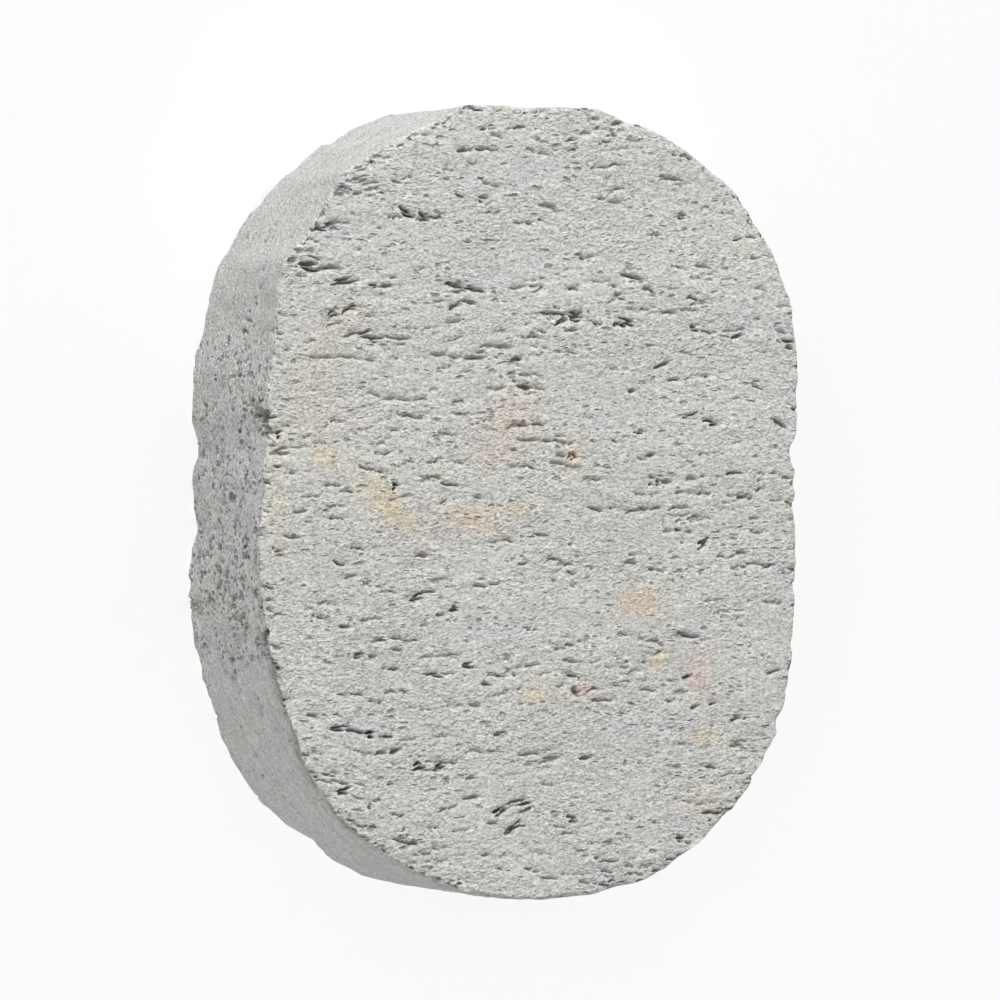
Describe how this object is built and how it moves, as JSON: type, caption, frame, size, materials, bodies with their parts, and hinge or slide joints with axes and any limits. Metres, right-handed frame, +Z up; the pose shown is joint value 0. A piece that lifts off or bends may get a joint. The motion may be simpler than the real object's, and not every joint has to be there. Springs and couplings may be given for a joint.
{
  "type": "pumice stone",
  "caption": "Thick oval tablet of natural pumice with two flat sawn faces, drawn-out slit pits and a porous rim, for rubbing hard skin smooth.",
  "frame": {"origin": "middle of the flat underside, at the bottom centre of the bounding box", "axes": "+X across the oval and along the drawn-out bubbles, +Y along the oval's length, +Z up through the thickness"},
  "size_m": [0.0698, 0.095, 0.024],
  "materials": {
    "pumice": "matt, porous, unpolished"
  },
  "bodies": {
    "root": {"pumice_stone": "pumice"}
  },
  "joints": []
}
